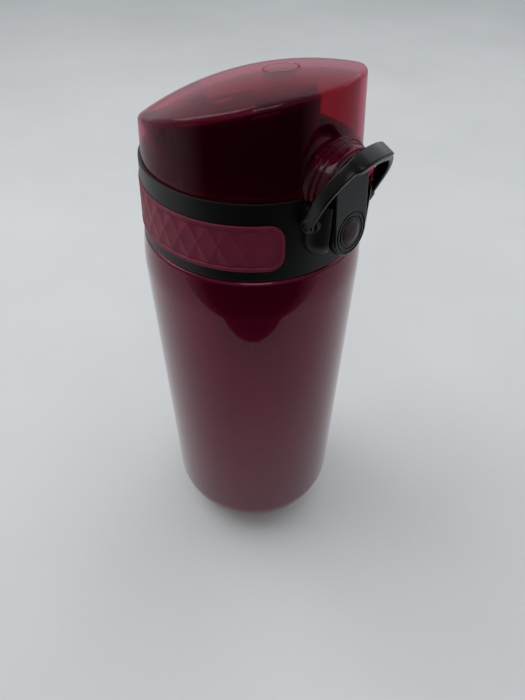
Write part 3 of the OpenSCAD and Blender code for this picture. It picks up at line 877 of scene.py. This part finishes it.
resharpen(weld(lever), 34)
dress(lever, "black_plastic", "latch", "latch_lever", look="gloss_black")

bulge = 7.0
lens_pts = [(0.0, -1.25), (3.1, -1.25), (LENS_R, -1.0)]
lens_pts += [(bulge * math.sin(a), bulge * math.cos(a) - bulge + 1.1)
             for a in [math.asin(LENS_R / bulge) * k / 12 for k in range(12, -1, -1)]]
lens = lathe_data(lens_pts, 64, False)
lens = solid("eye_lens", moved(lens, on_face()))
dress(lens, "lens_plastic", "latch", "latch_lens")


# ---------------------------------------------------------------- latch spring
WIRE, COIL_TURNS, COIL_STEPS = 0.3, 3.5, 168
coil_r = spring_hi[0] - WIRE
coil_path = []
for k in range(COIL_STEPS + 1):
    a = 2 * pi * COIL_TURNS * k / COIL_STEPS
    out = np.array([math.cos(a), 0.0, math.sin(a)])
    y = spring_hi[1] - WIRE - (spring_hi[1] - spring_lo[1] - 2 * WIRE) * k / COIL_STEPS
    coil_path.append((out * coil_r + np.array([0.0, y, EYE_Z]), out, np.array([0.0, 1.0, 0.0])))
coil = solid("latch_coil", sweep_data(coil_path, arc(0.0, 0.0, WIRE, 0, 330, 11)))
dress(coil, "steel", "cap", "latch_spring")
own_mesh(coil)


# ---------------------------------------------------------------- lock hoop
def hoop_frame(x, s, d):
    """x across, s up the hoop's plane, d towards the front."""
    c, n = math.cos(HOOP_LEAN), math.sin(HOOP_LEAN)
    return (x, HOOP[1] - d * c - s * n, HOOP[2] + s * c - d * n)


half_t, depth, start = 0.8, 3.6, 0.37
mid_w, knee = HOOP_W - half_t, HOOP_H - HOOP_W
leg = [start + (knee - start) * k / 5 for k in range(5)]
pts = np.array([(-mid_w, s) for s in leg] + arc(0.0, knee, mid_w, 180, 0, 56)
               + [(mid_w, s) for s in reversed(leg)])
tan = np.gradient(pts, axis=0)
tan /= np.linalg.norm(tan, axis=1)[:, None]
nrm = np.c_[-tan[:, 1], tan[:, 0]]
verts, faces = [], []
rows = []
for p, n in zip(pts, nrm):
    lip = max(0.0, 1.0 - (abs(p[0]) / 6.8) ** 8) if p[1] > HOOP_H / 2 else 0.0
    t_out, t_in = half_t + 0.8 * lip, half_t
    d_front, d_back = depth / 2 + lip, depth / 2
    sec = rounded([(-t_in, -d_back), (t_out, -d_back), (t_out, d_front), (-t_in, d_front)], 0.5, 4)
    row = []
    for a, b in sec:
        q = p + n * a
        verts.append(hoop_frame(q[0], q[1], b))
        row.append(len(verts) - 1)
    rows.append(row)
for i in range(len(rows) - 1):
    for k in range(len(rows[0])):
        m = (k + 1) % len(rows[0])
        faces.append((rows[i][k], rows[i][m], rows[i + 1][m], rows[i + 1][k]))
faces.append(tuple(rows[0][::-1]))
faces.append(tuple(rows[-1]))
hoop = solid("hoop_strap", (verts, faces))
for side in (-1, 1):
    x0, x1 = sorted((side * (HOOP_W - 2 * half_t - 0.03), side * (HOOP_W + 0.03)))
    hoop = boolean(hoop, rod("foot", 2.2, x0, x1, HOOP[1], HOOP[2], 0.5), "UNION")
hoop = boolean(hoop, rod("foot_bore", 1.05, -HOOP_W - 1, HOOP_W + 1, HOOP[1], HOOP[2]), "DIFFERENCE")
resharpen(weld(hoop), 34)
dress(hoop, "black_plastic", "hoop", "lock_hoop", look="gloss_black")


# ---------------------------------------------------------------- stage: floor, light and camera
AZ = math.radians(44.0)
PITCH, YAW, ROLL = math.radians(45.9), math.radians(1.48), math.radians(0.70)
EYE = (0.0, -150.4, 242.2)
SENSOR, FOCAL = 36.0, 27.05


def turned(v):
    """From the camera's own heading to the row frame."""
    c, s = math.cos(AZ), math.sin(AZ)
    return Vector((v[0] * c + v[1] * s, -v[0] * s + v[1] * c, v[2]))


def floor():
    m = Nodes("pale_floor")
    soft = m.noise(5.0, 4.0, 0.55, m.coords())
    base = m.mix(m.ramp(soft, 0.3, 0.7), rgb(0.56, 0.575, 0.575), rgb(0.62, 0.632, 0.635))
    m.principled(Base_Color=base, Roughness=0.55, Specular_IOR_Level=0.25,
                 Normal=m.bump(m.noise(900.0, 2.0, 0.5, m.coords()), 0.03, 0.0002))
    across, along, cells = (-1600.0, 1600.0), (-163.0, 1800.0), 24
    verts = [tuple(turned((across[0] + (across[1] - across[0]) * i / cells,
                           along[0] + (along[1] - along[0]) * k / cells, 0.0)))
             for i in range(cells + 1) for k in range(cells + 1)]
    row = cells + 1
    faces = [(i * row + k, (i + 1) * row + k, (i + 1) * row + k + 1, i * row + k + 1)
             for i in range(cells) for k in range(cells)]
    ob = make("floor", verts, faces)
    ob.data.materials.append(m.mat)


floor()

fwd = Vector((math.sin(YAW) * math.cos(PITCH), math.cos(YAW) * math.cos(PITCH), -math.sin(PITCH)))
right = Vector((math.cos(YAW), -math.sin(YAW), 0.0))
up = right.cross(fwd)
r2 = right * math.cos(ROLL) + up * math.sin(ROLL)
u2 = -right * math.sin(ROLL) + up * math.cos(ROLL)
cam_data = bpy.data.cameras.new("camera")
cam_data.sensor_width = SENSOR
cam_data.lens = FOCAL
cam_data.clip_start, cam_data.clip_end = 0.005, 20.0
cam = bpy.data.objects.new("camera", cam_data)
bpy.context.scene.collection.objects.link(cam)
R, U, F = turned(r2), turned(u2), turned(fwd)
place = turned(Vector(EYE)) * MM
cam.matrix_world = Matrix(((R.x, U.x, -F.x, place.x), (R.y, U.y, -F.y, place.y), (R.z, U.z, -F.z, place.z),
                           (0, 0, 0, 1)))
bpy.context.scene.camera = cam

world = bpy.data.worlds.new("light_box")
bpy.context.scene.world = world
world.use_nodes = True
wt = world.node_tree
wt.nodes.clear()


def sky_ramp(fac, a, lo, b, hi):
    n = wt.nodes.new("ShaderNodeValToRGB")
    for element, position, colour in zip(n.color_ramp.elements, (a, b), (lo, hi)):
        element.position = position
        element.color = colour
    wt.links.new(fac, n.inputs[0])
    return n.outputs[0]


view = wt.nodes.new("ShaderNodeTexCoord").outputs["Generated"]
dot = wt.nodes.new("ShaderNodeVectorMath")
dot.operation = "DOT_PRODUCT"
ahead = turned(Vector((0.0, 1.0, 0.0)))
dot.inputs[1].default_value = (ahead.x, ahead.y, 0.0)
wt.links.new(view, dot.inputs[0])
shift = wt.nodes.new("ShaderNodeMath")
shift.operation = "MULTIPLY_ADD"
shift.inputs[1].default_value = 0.5
shift.inputs[2].default_value = 0.5
wt.links.new(dot.outputs["Value"], shift.inputs[0])
high = sky_ramp(shift.outputs[0], 0.28, (0.22, 0.22, 0.225, 1), 0.62, (0.66, 0.69, 0.73, 1))
low = sky_ramp(shift.outputs[0], 0.17, (0.008, 0.008, 0.008, 1), 0.36, (0.45, 0.45, 0.46, 1))
parts = wt.nodes.new("ShaderNodeSeparateXYZ")
wt.links.new(view, parts.inputs[0])
rise = wt.nodes.new("ShaderNodeMapRange")
rise.inputs["From Min"].default_value = -0.12
rise.inputs["From Max"].default_value = 0.12
wt.links.new(parts.outputs["Z"], rise.inputs["Value"])
sky = wt.nodes.new("ShaderNodeMix")
sky.data_type = "RGBA"
wt.links.new(rise.outputs["Result"], sky.inputs[0])
wt.links.new(low, sky.inputs[6])
wt.links.new(high, sky.inputs[7])
background = wt.nodes.new("ShaderNodeBackground")
background.inputs[1].default_value = 1.12
wt.links.new(sky.outputs[2], background.inputs[0])
wt.links.new(background.outputs[0], wt.nodes.new("ShaderNodeOutputWorld").inputs[0])


def area(name, at, to, size, power, colour=(1, 1, 1)):
    data = bpy.data.lights.new(name, "AREA")
    data.energy = power
    data.color = colour
    data.size = size
    ob = bpy.data.objects.new(name, data)
    bpy.context.scene.collection.objects.link(ob)
    at, to = turned(Vector(at)), turned(Vector(to))
    ob.location = at
    ob.rotation_mode = "QUATERNION"
    ob.rotation_quaternion = (to - at).to_track_quat("-Z", "Y")


area("top_left", (-0.45, 0.15, 0.75), (0, 0, 0.1), 0.6, 3.0, (1.0, 0.99, 0.97))
area("front_fill", (0.05, -0.6, 0.85), (0, 0, 0.02), 0.4, 1.1)
area("top_right", (0.45, 0.35, 0.7), (0, 0, 0.1), 0.8, 1.8, (0.97, 0.98, 1.0))

bpy.context.scene.view_settings.view_transform = "Standard"
bpy.context.scene.view_settings.look = "None"
